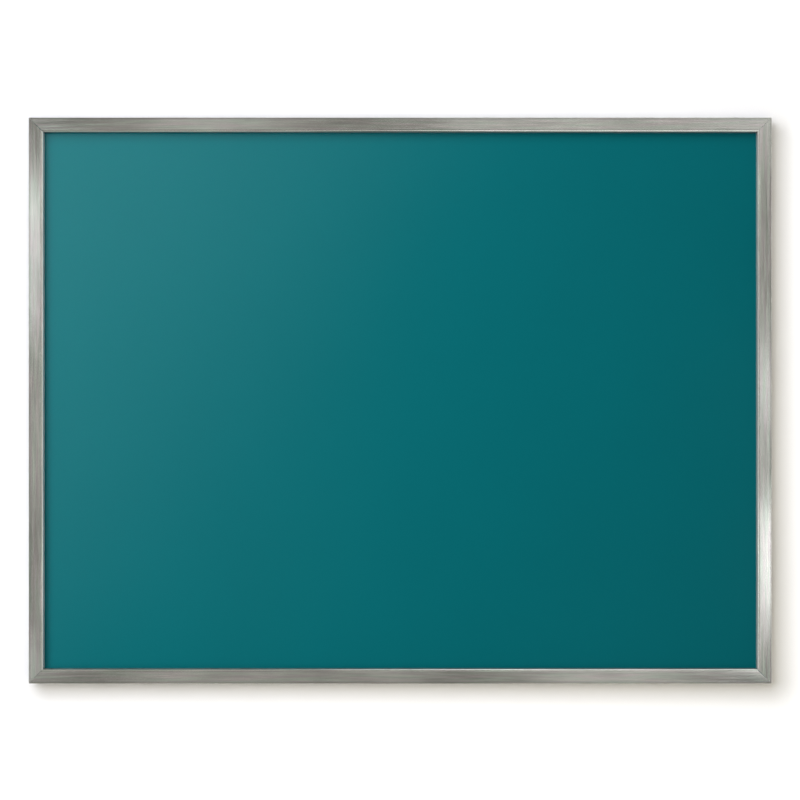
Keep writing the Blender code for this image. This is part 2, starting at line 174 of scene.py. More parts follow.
TAPE_INSET = 0.0003
TAPE_WAIST_INSET = 0.0004

# The lamps' colours, and each one's colour, power, place, target and size
WHITE = (1, 1, 1)
COOL = (0.900, 0.92, 1.0)
WARM = (1.0, 0.90, 0.63)
KEY = (WHITE, 20.6, (-0.516, -1.04, 0.417), (-0.03, 0, 0), (1.106, 1.626))
GLOW = (WHITE, 314.0, (-0.547, -1.05, 0.410), (-0.547, 0, 0.410), (3.0, 1.2))
FILL = (WHITE, 6.0, (-1.3, -1.3, -0.7), (-0.2, 0, -0.1), (0.8, 0.8))
WASH = (COOL, 34.8, (-0.539, -1.586, 0.475), (0, 0, 0), (1.496, 1.31))
BOUNCE = (WARM, 6.4, (0.257, -1.36, -0.269), (0, 0, 0), (1.269, 1.208))
BACK = (WHITE, 46.0, (1.1, 1.9, 1.1), (0, 0, 0), (2.0, 2.0))

# The world's level on matt surfaces, and its levels in reflections over a span of heights
AMBIENT = 0.13
SKY_LEVELS = (0.10, 0.75)
SKY_SPAN = (-0.35, 0.75)

# The stage: glows near the board and far from it, and the spans of distance from the board's outline over
# which they change. WALL_GLOW gives light, the others are only seen.
WALL_REACH = 3.0
WALL_GLOW = (0.02, 0.40)
WALL_GLOW_SPAN = (0.012, 0.055)
WALL_SEEN = (0, 0.9)
WALL_SEEN_SPAN = (0.25, 0.8)
FLOOR_Z = -0.62
FLOOR_SEEN = (0.72, 1)
FLOOR_SEEN_SPAN = (0.45, 1.4)
SHADE_SEEN = (0.16, 0.16)
# How deep the painted shade is on the wall right beside the lit edges, and over which span; the slope tells
# those edges
PAINTED_CONTACT_SHADE = 0.18
CONTACT_SPAN = (0.0030, 0.0085)
LIT_SLOPE = (-0.8 / WIDTH, 0, 1 / HEIGHT)

# In degrees: the angle between faces from which an edge is sharp, and half of the angle from which a corner
# isn't rounded. Then the share of a side that a rounded corner may take.
SHARP_DEGREES = 35
ALMOST_STRAIGHT = 75
CORNER_SHARE = 0.45
# Each side and corner: the signs of its place in x and z, and its turn about Y
SIDES = {
    "rail_bottom": (0, -1, 0),
    "stile_right": (1, 0, -math.pi / 2),
    "rail_top": (0, 1, math.pi),
    "stile_left": (-1, 0, math.pi / 2),
}
CORNERS = {
    "bottom_left": (-1, -1, 0),
    "bottom_right": (1, -1, -math.pi / 2),
    "top_right": (1, 1, math.pi),
    "top_left": (-1, 1, math.pi / 2),
}


class Graph:
    """The node tree of a material, lamp or world, with short calls for the nodes used here."""

    def __init__(self, owner):
        owner.use_nodes = True
        self.owner = owner
        self.tree = owner.node_tree
        self.shader = self.tree.nodes.get("Principled BSDF")
        self.place = None

    def feed(self, socket, value):
        """Link an output to a socket, or set the socket's own value; a colour is three numbers."""
        if isinstance(value, bpy.types.NodeSocket):
            self.tree.links.new(value, socket)
        elif socket.type == "RGBA":
            socket.default_value = (*value, 1)
        else:
            socket.default_value = value

    def node(self, kind, inputs, **settings):
        """A new node, its kind named without the ShaderNode in front."""
        node = self.tree.nodes.new("ShaderNode" + kind)
        for key, value in settings.items():
            setattr(node, key, value)
        for socket, value in inputs.items():
            self.feed(node.inputs[socket], value)
        return node

    def coordinates(self, output):
        return self.node("TexCoord", {}).outputs[output]

    def parts(self, vector):
        return self.node("SeparateXYZ", {0: vector}).outputs

    def vector_math(self, operation, first, second=(0, 0, 0), output=0):
        inputs = {0: first, 1: second}
        return self.node("VectorMath", inputs, operation=operation).outputs[output]

    def measure(self, operation, first, second=(0, 0, 0)):
        """A number from vectors, such as a length."""
        return self.vector_math(operation, first, second, "Value")

    def noise(self, scale, detail, roughness):
        """Noise over the graph's place; three scales, one for each axis, draw it out along the smallest."""
        place = self.place
        if isinstance(scale, tuple):
            place = self.node("Mapping", {"Vector": place, "Scale": scale}).outputs["Vector"]
            scale = 1.0
        inputs = {"Vector": place, "Scale": scale, "Detail": detail, "Roughness": roughness}
        return self.node("TexNoise", inputs).outputs["Fac"]

    def math(self, operation, first, second):
        return self.node("Math", {0: first, 1: second}, operation=operation).outputs[0]

    def product(self, first, *others):
        for other in others:
            first = self.math("MULTIPLY", first, other)
        return first

    def remap(self, value, old, new, smooth=False):
        inputs = {"Value": value, "From Min": old[0], "From Max": old[1], "To Min": new[0], "To Max": new[1]}
        kind = "SMOOTHSTEP" if smooth else "LINEAR"
        return self.node("MapRange", inputs, interpolation_type=kind).outputs["Result"]

    def between(self, value, low, high):
        """A value from 0 to 1 as one from low to high."""
        return self.remap(value, (0, 1), (low, high))

    def spread(self, noise, low, high):
        """The middle of a noise's range, where most of it lies, as a value from low to high."""
        return self.remap(noise, (0.3, 0.7), (low, high))

    def mix(self, factor, first, second):
        """A colour between two colours."""
        inputs = {0: factor, 6: first, 7: second}
        return self.node("Mix", inputs, data_type="RGBA").outputs[2]

    def mix_values(self, factor, first, second):
        """A number between two numbers."""
        return self.node("Mix", {0: factor, 2: first, 3: second}).outputs[0]

    def scaled(self, colour, factor):
        """A colour times a number."""
        return self.node("VectorMath", {0: colour, "Scale": factor}, operation="SCALE").outputs[0]

    def bump(self, height, distance, normal=None):
        inputs = {"Height": height, "Distance": distance, "Strength": 1.0}
        if normal is not None:
            inputs["Normal"] = normal
        return self.node("Bump", inputs).outputs["Normal"]

    def finish(self, **inputs):
        """Set the shader's sockets by name, with underscores for spaces, and return the material."""
        for name, value in inputs.items():
            self.feed(self.shader.inputs[name.replace("_", " ")], value)
        return self.owner

    def surface(self, output):
        """Show this output in place of the usual shader, and return the material."""
        self.tree.nodes.remove(self.shader)
        self.feed(self.tree.nodes["Material Output"].inputs["Surface"], output)
        return self.owner


def material_graph(name):
    """A new material's graph, which starts from a point's own place in its object."""
    graph = Graph(bpy.data.materials.new(name))
    graph.place = graph.coordinates("Object")
    return graph


def brushed_frame():
    """Warm grey metal brushed lengthwise: hairlines, short streaks and clouds in shade, tint and gloss.

    A rail's own axes are x along it, y back from its face and z in from its outer edge, so they also tell
    the outer arris, the groove, the polished bead and the dull inner wall apart. Painted shade darkens the
    arris and the groove. On the rails but not on the stiles, which the height of a length's middle tells
    apart, the bead gets a painted highlight and the inner wall painted shade.
    """
    graph = material_graph("brushed_frame")
    axes = graph.parts(graph.place)
    bead_start = FACE_WIDTH - BEAD_WIDTH
    groove = {0: axes["Z"], 1: bead_start - GROOVE_WIDTH / 2, 2: GROOVE_WIDTH * 0.6}
    painted_groove_shade = graph.node("Math", groove, operation="COMPARE").outputs[0]
    on_bead = graph.math("GREATER_THAN", axes["Z"], bead_start)
    behind = graph.math("GREATER_THAN", axes["Y"], BEAD_HEIGHT * 1.3)
    which = graph.node("ObjectInfo", {}).outputs["Location"]
    height = graph.parts(graph.vector_math("ABSOLUTE", which))["Z"]
    on_rail_bead = graph.product(on_bead, graph.math("GREATER_THAN", height, HEIGHT / 4))
    painted_inner_wall_shade = graph.product(on_rail_bead, behind)
    painted_arris_shade = graph.product(graph.remap(axes["Z"], ARRIS_WIDTH_SPAN, (1, 0)),
                          graph.remap(axes["Y"], ARRIS_DEPTH_SPAN, (1, 0)))
    graph.place = graph.vector_math("ADD", graph.place, which)
    hairlines = graph.noise((45, 1500, 1500), 3.0, 0.6)
    streaks = graph.noise((26, 560, 560), 4.0, 0.6)
    tints = graph.noise((19, 330, 330), 2.0, 0.5)
    clouds = graph.noise((13, 30, 30), 3.0, 0.6)
    waves = graph.noise((9, 16, 16), 1.0, 0.4)
    shade = graph.product(
        graph.spread(hairlines, 0.93, 1.07),
        graph.spread(streaks, 0.87, 1.11),
        graph.spread(clouds, 0.88, 1.10),
        # Painted shade in the groove
        graph.between(painted_groove_shade, 1.0, 0.90),
        # Painted shade on the outer arris
        graph.between(painted_arris_shade, 1.0, 0.74),
        # Painted highlight on the rails' beads, which the stiles don't get
        graph.between(on_rail_bead, 1.0, 1.17),
        # Painted shade on the rails' inner walls
        graph.between(painted_inner_wall_shade, 1.0, 0.45),
    )
    tint = graph.mix(graph.remap(tints, (0.35, 0.65), (0, 1)), (0.690, 0.640, 0.590), (0.640, 0.675, 0.575))
    tint = graph.mix(graph.product(behind, 0.7), tint, (0.640, 0.635, 0.610))
    normal = graph.bump(waves, 0.0004)
    normal = graph.bump(hairlines, 0.000002, normal)
    gloss = graph.spread(streaks, 0.13, 0.19)
    gloss = graph.math("ADD", gloss, graph.between(behind, 0.0, 0.35))
    gloss = graph.math("SUBTRACT", gloss, graph.between(on_bead, 0.0, 0.03))
    tangent = graph.node("Tangent", {}, direction_type="UV_MAP", uv_map="Brushing")
    return graph.finish(Base_Color=graph.scaled(tint, shade), Metallic=1.0, Roughness=gloss,
                        Anisotropic=0.8, Normal=normal, Tangent=tangent.outputs["Tangent"])


def sawn_metal():
    """Dull dark metal with the saw's fine lines, on the mitres."""
    graph = material_graph("sawn_metal")
    lines = graph.noise((2600, 120, 2600), 2.0, 0.6)
    colour = graph.mix(lines, (0.035, 0.034, 0.032), (0.090, 0.088, 0.082))
    return graph.finish(Base_Color=colour, Metallic=1.0, Roughness=graph.spread(lines, 0.5, 0.7),
                        Normal=graph.bump(lines, 0.00001))


def teal_coat():
    """Satin teal coating on flat steel: faint orange peel and an almost even colour."""
    graph = material_graph("teal_coat")
    peel = graph.noise(700.0, 2.0, 0.5)
    patches = graph.noise(9.0, 3.0, 0.5)
    specks = graph.noise(2600.0, 1.0, 0.5)
    shade = graph.product(graph.spread(patches, 0.985, 1.015), graph.spread(specks, 0.98, 1.02))
    colour = graph.scaled((0.0017, 0.1330, 0.1530), shade)
    roughness = graph.spread(peel, 0.15, 0.19)
    return graph.finish(Base_Color=colour, Roughness=roughness, Specular_IOR_Level=0.03,
                        Normal=graph.bump(peel, 0.000003))


def hardboard():
    """Brown pressed fibre with the woven print of the press screen on its back."""
    graph = material_graph("hardboard")
    fibres = graph.noise(420.0, 5.0, 0.7)
    mottling = graph.noise(38.0, 4.0, 0.6)
    wires = []
    for direction in ("X", "Z"):
        inputs = {"Vector": graph.place, "Scale": 200.0, "Distortion": 0.6, "Detail": 1.0}
        wires.append(graph.node("TexWave", inputs, bands_direction=direction).outputs["Fac"])
    screen = graph.product(wires[0], wires[1])
    dark = graph.mix(mottling, (0.115, 0.058, 0.028), (0.200, 0.110, 0.056))
    colour = graph.mix(graph.remap(fibres, (0.35, 0.72), (0, 0.6)), dark, (0.300, 0.185, 0.100))
    colour = graph.mix(graph.between(screen, 0.25, 0), colour, (0.080, 0.040, 0.020))
    normal = graph.bump(fibres, 0.00012, graph.bump(screen, 0.00015))
    return graph.finish(Base_Color=colour, Roughness=graph.spread(fibres, 0.78, 0.92),
                        Specular_IOR_Level=0.3, Normal=normal)


def spring_steel():
    """Blued leaf steel with drawn lines and a little temper colour."""
    graph = material_graph("spring_steel")
    lines = graph.noise((30, 900, 900), 3.0, 0.6)
    temper = graph.noise(70.0, 2.0, 0.5)
    colour = graph.mix(temper, (0.155, 0.175, 0.230), (0.260, 0.235, 0.215))
    colour = graph.scaled(colour, graph.spread(lines, 0.85, 1.15))
    return graph.finish(Base_Color=colour, Metallic=1.0, Roughness=graph.spread(lines, 0.26, 0.38),
                        Normal=graph.bump(lines, 0.000004))


def zinc_plate():
    """Bright zinc with a faint spangle and a thin yellowish passivation."""
    graph = material_graph("zinc_plate")
    spangle = graph.node("TexVoronoi", {"Vector": graph.place, "Scale": 420.0}).outputs["Color"]
    cells = graph.node("SeparateColor", {"Color": spangle}).outputs[0]
    film = graph.noise(130.0, 3.0, 0.55)
    scuffs = graph.noise(1100.0, 3.0, 0.65)
    colour = graph.mix(film, (0.600, 0.600, 0.620), (0.640, 0.610, 0.520))
    colour = graph.scaled(colour, graph.between(cells, 0.90, 1.06))
    roughness = graph.math("ADD", graph.between(cells, 0.24, 0.34), graph.spread(scuffs, -0.04, 0.06))
    return graph.finish(Base_Color=colour, Metallic=1.0, Roughness=roughness,
                        Normal=graph.bump(scuffs, 0.0000025))


def nickel_wire():
    """Polished nickel over drawn wire, dulled where the ring rubs."""
    graph = material_graph("nickel_wire")
    rubbed = graph.noise(450.0, 3.0, 0.6)
    clouding = graph.noise(120.0, 2.0, 0.5)
    colour = graph.mix(clouding, (0.690, 0.655, 0.600), (0.620, 0.590, 0.545))
    roughness = graph.remap(rubbed, (0.35, 0.7), (0.10, 0.26))
    return graph.finish(Base_Color=colour, Metallic=1.0, Roughness=roughness,
                        Normal=graph.bump(rubbed, 0.000003))


def black_rubber():
    """Matt moulded rubber with a grainy skin and a little dust."""
    graph = material_graph("black_rubber")
    grain = graph.noise(2400.0, 3.0, 0.6)
    dust = graph.noise(500.0, 4.0, 0.7)
    colour = graph.mix(graph.remap(dust, (0.55, 0.8), (0, 0.35)), (0.016, 0.016, 0.017),
                       (0.085, 0.080, 0.074))
    return graph.finish(Base_Color=colour, Roughness=graph.spread(grain, 0.55, 0.75),
                        Normal=graph.bump(grain, 0.00002))


def foam_tape():
    """White foam tape between a bumper and the frame."""
    graph = material_graph("foam_tape")
    cells = graph.noise(3200.0, 3.0, 0.6)
    colour = graph.mix(cells, (0.62, 0.60, 0.55), (0.80, 0.79, 0.75))
    return graph.finish(Base_Color=colour, Roughness=0.85, Normal=graph.bump(cells, 0.00002))


def neighbours(items):
    """Each item with the one after it, round to the first."""
    return list(zip(items, items[1:] + items[:1]))


def arc(centre, radii, start, end, steps):
    """Points on part of an ellipse, with the angles in degrees."""
    points = []
    for step in range(steps + 1):
        angle = math.radians(start + (end - start) * step / steps)
        points.append((centre[0] + radii[0] * math.cos(angle), centre[1] + radii[1] * math.sin(angle)))
    return points


def rounded(corners, radius, steps):
    """A closed outline with each corner turned into an arc, cut down where a side is too short for it."""
    outline = []
    for index, corner in enumerate(corners):
        here = Vector(corner)
        back = Vector(corners[index - 1]) - here
        ahead = Vector(corners[(index + 1) % len(corners)]) - here
        half_angle = back.angle(ahead) / 2
        room = min(back.length, ahead.length) * CORNER_SHARE
        reach = min(radius / math.tan(half_angle), room)
        if math.degrees(half_angle) > ALMOST_STRAIGHT:
            outline.append(here)
            continue
        fitted = reach * math.tan(half_angle)
        back.normalize()
        ahead.normalize()
        centre = here + (back + ahead).normalized() * (fitted / math.sin(half_angle))
        start = here + back * reach - centre
        end = here + ahead * reach - centre
        for step in range(steps + 1):
            outline.append(centre + start.lerp(end, step / steps).normalized() * fitted)
    return outline


def frame_section():
    """The frame's outline as width from the outer edge and depth from the front face."""
    bead_start = FACE_WIDTH - BEAD_WIDTH
    groove_start = bead_start - GROOVE_WIDTH
    taper = GROOVE_WIDTH / 5
    slot_outer = CHANNEL_MIDDLE - SLOT_WIDTH / 2
    slot_inner = CHANNEL_MIDDLE + SLOT_WIDTH / 2
    channel_inner = OUTER_WALL + CHANNEL_WIDTH
    upstand = channel_inner + UPSTAND_THICKNESS
    corner = REAR_EDGE_RADIUS
    outline = arc((EDGE_RADIUS, CROWN + EDGE_RADIUS), (EDGE_RADIUS, EDGE_RADIUS), 180, 270, 10)
    for step in range(1, CROWN_STEPS):
        share = step / CROWN_STEPS
        width = EDGE_RADIUS + (groove_start - EDGE_RADIUS) * share
        outline.append((width, CROWN * (2 * share - 1) ** 2))
    outline += [
        (groove_start, CROWN),
        (groove_start + taper, GROOVE_DEPTH),
        (bead_start - taper, GROOVE_DEPTH),
    ]
    shoulder = (BEAD_SHOULDER, GROOVE_DEPTH)
    outline += arc((bead_start + BEAD_SHOULDER, GROOVE_DEPTH), shoulder, 180, 270, 6)[1:]
    outline += arc((FACE_WIDTH - BEAD_ROUND, BEAD_HEIGHT), (BEAD_ROUND, BEAD_HEIGHT), -90, 0, 12)
    outline += [
        (FACE_WIDTH, LIP_DEPTH),
        (FACE_WIDTH - LIP_THICKNESS, LIP_DEPTH),
        (FACE_WIDTH - LIP_THICKNESS, FRONT_SKIN),
        (OUTER_WALL, FRONT_SKIN),
        (OUTER_WALL, WEB_FRONT),
        (upstand, WEB_FRONT),
    ]
    outline += arc((upstand - corner, FRAME_DEPTH - corner), (corner, corner), 0, 90, 6)
    outline += [
        (slot_inner, FRAME_DEPTH),
        (slot_inner, REAR_LIP_FRONT),
        (channel_inner, REAR_LIP_FRONT),
        (channel_inner, WEB_BACK),
        (OUTER_WALL, WEB_BACK),
        (OUTER_WALL, REAR_LIP_FRONT),
        (slot_outer, REAR_LIP_FRONT),
        (slot_outer, FRAME_DEPTH),
    ]
    outline += arc((corner, FRAME_DEPTH - corner), (corner, corner), 90, 180, 6)
    return rounded(outline, SMALL_RADIUS, 3)


def smoothed(mesh, sharp_degrees=SHARP_DEGREES):
    mesh.shade_smooth()
    mesh.set_sharp_from_angle(angle=math.radians(sharp_degrees))
    return mesh


def finished_mesh(name, bm, sharp_degrees=SHARP_DEGREES):
    bmesh.ops.recalc_face_normals(bm, faces=bm.faces)
    mesh = bpy.data.meshes.new(name)
    bm.to_mesh(mesh)
    bm.free()
    return smoothed(mesh, sharp_degrees)


def add_piece(name, data, material, slot, matrix, body="board"):
    """A new piece with its finish, riding on a body."""
    data.materials.clear()
    data.materials.append(material)
    piece = bpy.data.objects.new(name, data)
    piece.matrix_world = matrix
    bpy.context.scene.collection.objects.link(piece)
    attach(piece, body)
    return piece


def stand_in(node, *looks):
    """A finer piece in place of a CAD node, made as add_piece makes one."""
    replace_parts(add_piece(node + "_finish", *looks), node)


def dress(node, material):
    """A CAD node kept as it is, with its own finish."""
    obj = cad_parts[node]
    obj.data.materials.clear()
    obj.data.materials.append(material)


def rail_mesh(name, length, wedge=0.0):
    """A mitred length of the section, with texture coordinates across and along the brushing.

    The mitre at its right end may be cut a little short, so that the joint opens towards the board's middle.
    """
    section = frame_section()
    bm = bmesh.new()
    brushing = bm.loops.layers.uv.new("Brushing")
    ends = []
    for sign, opening in ((-1, 0.0), (1, wedge)):
        ring = []
        for width, depth in section:
            setback = MITRE_GAP / 2 * math.sqrt(2) + opening * (width / FACE_WIDTH) ** 2
            ring.append(bm.verts.new((sign * (length / 2 - width - setback), depth, width)))
        ends.append(ring)
    around = [0.0]
    for index in range(len(section)):
        after = (index + 1) % len(section)
        around.append(around[-1] + (Vector(section[after]) - Vector(section[index])).length)
        face = bm.faces.new((ends[0][index], ends[0][after], ends[1][after], ends[1][index]))
        for loop, across in zip(face.loops, (index, index + 1, index + 1, index)):
            loop[brushing].uv = (around[across], loop.vert.co.x)
    for end in ends:
        face = bm.faces.new(end)
        face.material_index = 1
        for loop in face.loops:
            loop[brushing].uv = (loop.vert.co.y, loop.vert.co.z)
    return finished_mesh(name, bm, sharp_degrees=30)


def axes_of(x_sign, z_sign, turn):
    """The axes of a side or corner: x along it, y back from the front face, z in from the outer edge."""
    place = Matrix.Translation((x_sign * WIDTH / 2, FRONT_Y, z_sign * HEIGHT / 2))
    return place @ Matrix.Rotation(turn, 4, "Y")


def build_frame(material, sawn):
    """The four sides, brushed outside and sawn dull at their mitres."""
    meshes = {
        "rail": rail_mesh("rail_finish", WIDTH, MITRE_WEDGE),
        "stile": rail_mesh("stile_finish", HEIGHT),
    }
    for node, side in SIDES.items():
        mesh = meshes[node.split("_")[0]]
        stand_in(node, mesh, material, "frame_metal", axes_of(*side))
    for mesh in meshes.values():
        mesh.materials.append(sawn)


def shrunk(outline, amount):
    """The outline moved inwards by an amount."""
    points = [Vector(point) for point in outline]
    area = sum(a.x * b.y - b.x * a.y for a, b in neighbours(points))
    side = 1 if area > 0 else -1
    moved = []
    for index, here in enumerate(points):
        before = (here - points[index - 1]).normalized()
        after = (points[(index + 1) % len(points)] - here).normalized()
        normal = Vector((-before.y - after.y, before.x + after.x)) * side
        moved.append(here + normal * (amount * 2 / normal.length_squared))
    return moved


def bridged(bm, rings):
    """Faces between rings of vertices, and one across each end."""
    for low, high in zip(rings, rings[1:]):
        for (a, b), (d, c) in zip(neighbours(low), neighbours(high)):
            bm.faces.new((a, b, c, d))
    bm.faces.new(rings[0])
    bm.faces.new(rings[-1])


def blanked(name, outline, depth, edge):
    """An outline in x and z, extruded from y = 0 to a depth, with rounded edges on both faces."""
    steps = 3
    levels = []
    for step in range(steps + 1):
        angle = math.pi / 2 * step / steps
        levels.append((edge * (1 - math.sin(angle)), edge * (1 - math.cos(angle))))
    levels += [(inset, depth - y) for inset, y in reversed(levels)]
    bm = bmesh.new()
    rings = []
    for inset, y in levels:
        rings.append([bm.verts.new((point.x, y, point.y)) for point in shrunk(outline, inset)])
    bridged(bm, rings)
    return finished_mesh(name, bm)


def turned(name, profile, sides=40):
    """A solid of revolution about Y from pairs of radius and height, with flat ends."""
    bm = bmesh.new()
    rings = []
    for radius, height in profile:
        angles = [2 * math.pi * side / sides for side in range(sides)]
        rings.append([bm.verts.new((radius * math.cos(a), height, radius * math.sin(a))) for a in angles])
    bridged(bm, rings)
    return finished_mesh(name, bm)


def hole_cutter(radius, length, flare):
    """A cutter along Y that breaks the edges of the hole at both ends."""
    wide = radius + flare
    profile = [(wide + flare, -flare), (wide, 0), (radius, flare), (radius, length - flare), (wide, length),
               (wide + flare, length + flare)]
    return turned("cutter", profile, 32)


def combined(name, base, tools, operation):
    """The base mesh after a union with, or a cut by, each tool mesh at its matrix."""
    body = bpy.data.objects.new("body", base)
    bpy.context.collection.objects.link(body)
    helpers = [body]
    for mesh, matrix in tools:
        helper = bpy.data.objects.new("helper", mesh)
        helper.matrix_world = matrix
        bpy.context.collection.objects.link(helper)
        helpers.append(helper)
        modifier = body.modifiers.new("join", "BOOLEAN")
        modifier.operation = operation
        modifier.solver = "EXACT"
        modifier.object = helper
    bpy.context.view_layer.update()
    mesh = bpy.data.meshes.new_from_object(body.evaluated_get(bpy.context.evaluated_depsgraph_get()))
    for helper in helpers:
        bpy.data.objects.remove(helper, do_unlink=True)
    mesh.name = name
    return smoothed(mesh)


def rectangle(left, low, right, high):
    return [(left, low), (right, low), (right, high), (left, high)]


def corner_outline():
    near = CHANNEL_MIDDLE - PLATE_WIDTH / 2
    far = CHANNEL_MIDDLE + PLATE_WIDTH / 2
    leg = CORNER_LEG
    corners = [(near, near), (leg, near), (leg, far), (far, far), (far, leg), (near, leg)]
    return rounded(corners, PLATE_CORNER_RADIUS, 6)


def screw_mesh(name, tip):
    """A slotted screw along Y from its tip, with a threaded shank and a head behind the plate."""
    head_start = REAR_LIP_FRONT - tip
    head_end = head_start + HEAD_THICKNESS
    root = SHANK_RADIUS - THREAD_DEPTH
    flank = THREAD_PITCH * 0.3
    crest = THREAD_PITCH * 0.15
    profile = [(root - THREAD_DEPTH, 0)]
    height = THREAD_PITCH / 2
    while height + THREAD_PITCH < head_start:
        profile += [(root, height - flank), (SHANK_RADIUS, height)]
        profile += [(SHANK_RADIUS, height + crest), (root, height + crest + flank)]
        height += THREAD_PITCH
    profile += [(SHANK_RADIUS, head_start - flank), (SHANK_RADIUS, head_start)]
    profile += [(HEAD_RADIUS - HEAD_EDGE / 3, head_start), (HEAD_RADIUS, head_start + HEAD_EDGE / 3)]
    profile += arc((HEAD_RADIUS - HEAD_EDGE, head_end - HEAD_EDGE), (HEAD_EDGE, HEAD_EDGE), 0, 80, 5)
    profile.append((HEAD_RADIUS * 0.5, head_end))
    half = SLOT_CUT_WIDTH / 2
    outline = rectangle(-HEAD_RADIUS * 2, head_end - SLOT_CUT_DEPTH, HEAD_RADIUS * 2, head_end * 2)
    slot = blanked("slot", rounded(outline, SLOT_CUT_EDGE, 2), SLOT_CUT_WIDTH, SLOT_CUT_EDGE)
    # The slot runs along z and is as wide as the cutter is deep
    along_z = Matrix(((0, -1, 0, half), (0, 0, 1, 0), (1, 0, 0, 0), (0, 0, 0, 1)))
    return combined(name, turned(name, profile), [(slot, along_z)], "DIFFERENCE")


def build_corners(material):
    """A shim, a plate and two screws in the channel at each corner."""
    places = [(CORNER_SCREW_DISTANCE, CHANNEL_MIDDLE), (CHANNEL_MIDDLE, CORNER_SCREW_DISTANCE)]
    holes = [(hole_cutter(HOLE_RADIUS, PLATE_THICKNESS, HOLE_FLARE), Matrix.Translation((x, 0, z)))
             for x, z in places]
    blank = blanked("corner_plate", corner_outline(), PLATE_THICKNESS, PLATE_EDGE)
    plate = combined("corner_plate", blank, holes, "DIFFERENCE")
    shim = blanked("shim", corner_outline(), SHIM_THICKNESS, SHIM_EDGE)
    screw = screw_mesh("corner_screw", SCREW_TIP)
    for index, (corner, signs) in enumerate(CORNERS.items()):
        axes = axes_of(*signs)
        for name, mesh, depth in (("shim_", shim, SHIM_FRONT), ("corner_plate_", plate, PLATE_FRONT)):
            stand_in(name + corner, mesh, material, "zinc", axes @ Matrix.Translation((0, depth, 0)))
        for number, (x, z) in enumerate(places, 1):
            degrees = FIRST_SCREW_DEGREES + NEXT_SCREW_DEGREES * (2 * index + number - 1)
            turn = Matrix.Rotation(math.radians(degrees), 4, "Y")
            stand_in("corner_screw_" + corner + "_" + str(number), screw, material, "zinc",
                     axes @ Matrix.Translation((x, SCREW_TIP, z)) @ turn)


def hanger_mesh():
    """A plate in the channel with a rounded eye that stands out through the slot, about the ring's axis."""
    start = PLATE_FRONT - RING_AXIS_DEPTH
    corners = rectangle(-PLATE_WIDTH / 2, HANGER_LOW, PLATE_WIDTH / 2, HANGER_HIGH)
    plate = blanked("hanger_plate", rounded(corners, PLATE_CORNER_RADIUS, 6), PLATE_THICKNESS, PLATE_EDGE)
    plate.transform(Matrix.Translation((0, start, 0)))
    foot = start + PLATE_THICKNESS / 2
    arch = [(-EYE_RADIUS, foot), (EYE_RADIUS, foot)] + arc((0, 0), (EYE_RADIUS, EYE_RADIUS), 0, 180, 24)
    eye = blanked("eye", arch, EYE_WIDTH, EYE_EDGE)
    along_axis = Matrix(((0, 1, 0, -EYE_WIDTH / 2), (0, 0, 1, 0), (1, 0, 0, 0), (0, 0, 0, 1)))
    joined = combined("hanger", plate, [(eye, along_axis)], "UNION")
    bore = hole_cutter(EYE_BORE, EYE_WIDTH, EYE_BORE_FLARE)
    across = Matrix.Translation((EYE_WIDTH / 2, 0, 0)) @ Matrix.Rotation(math.pi / 2, 4, "Z")
    hole = hole_cutter(HOLE_RADIUS, PLATE_THICKNESS, HOLE_FLARE)
    place = Matrix.Translation((0, start, HANGER_SCREW_Z))
    return combined("hanger", joined, [(bore, across), (hole, place)], "DIFFERENCE")


def ring_mesh():
    """A bent wire about its axis: a straight bar in the eye, open at a butt joint, and a bow below."""
    half = RING_HALF_WIDTH
    bend = (RING_BEND, RING_BEND)
    start = RING_JOINT_X + RING_JOINT_GAP
    path = [(start, 0), (start + RING_END_LENGTH, 0)]
    path += arc((half - RING_BEND, -RING_BEND), bend, 90, 0, 12)[1:]
    path += arc((0, RING_BOW_Z), (half, half), 0, -180, 48)
    path += arc((RING_BEND - half, -RING_BEND), bend, 180, 90, 12)
    path += [(0, 0), (RING_JOINT_X - RING_END_LENGTH, 0), (RING_JOINT_X, 0)]
    path = [Vector((x, 0, z)) for x, z in path]
    sides = 24
    bm = bmesh.new()
    rings = []
    for index, here in enumerate(path):
        before = path[max(index - 1, 0)]
        after = path[min(index + 1, len(path) - 1)]
        out = (after - before).normalized().cross(Vector((0, 1, 0)))
        radius = WIRE_RADIUS * (RING_END_SHARE if index in (0, len(path) - 1) else 1.0)
        ring = []
        for side in range(sides):
            angle = 2 * math.pi * side / sides
            place = here + (out * math.cos(angle) + Vector((0, 1, 0)) * math.sin(angle)) * radius
            ring.append(bm.verts.new(place))
        rings.append(ring)
    bridged(bm, rings)
    return finished_mesh("ring", bm)


def build_hangers(plate_material, ring_material):
    hanger = hanger_mesh()
    screw = screw_mesh("hanger_screw", HANGER_SCREW_TIP)
    ring = ring_mesh()
    for name, sign, slot_turn in (("left", -1, 0.4), ("right", 1, -0.9)):
        axis = Matrix.Translation((sign * HANGER_X, FRONT_Y + RING_AXIS_DEPTH, HANGER_Z))
        stand_in("hanger_" + name, hanger, plate_material, "zinc", axis)
        place = axis @ Matrix.Translation((0, HANGER_SCREW_TIP - RING_AXIS_DEPTH, HANGER_SCREW_Z))
        stand_in("hanger_screw_" + name, screw, plate_material, "zinc",
                 place @ Matrix.Rotation(slot_turn, 4, "Y"))
        stand_in("ring_" + name, ring, ring_material, "nickel", axis, name + "_ring")


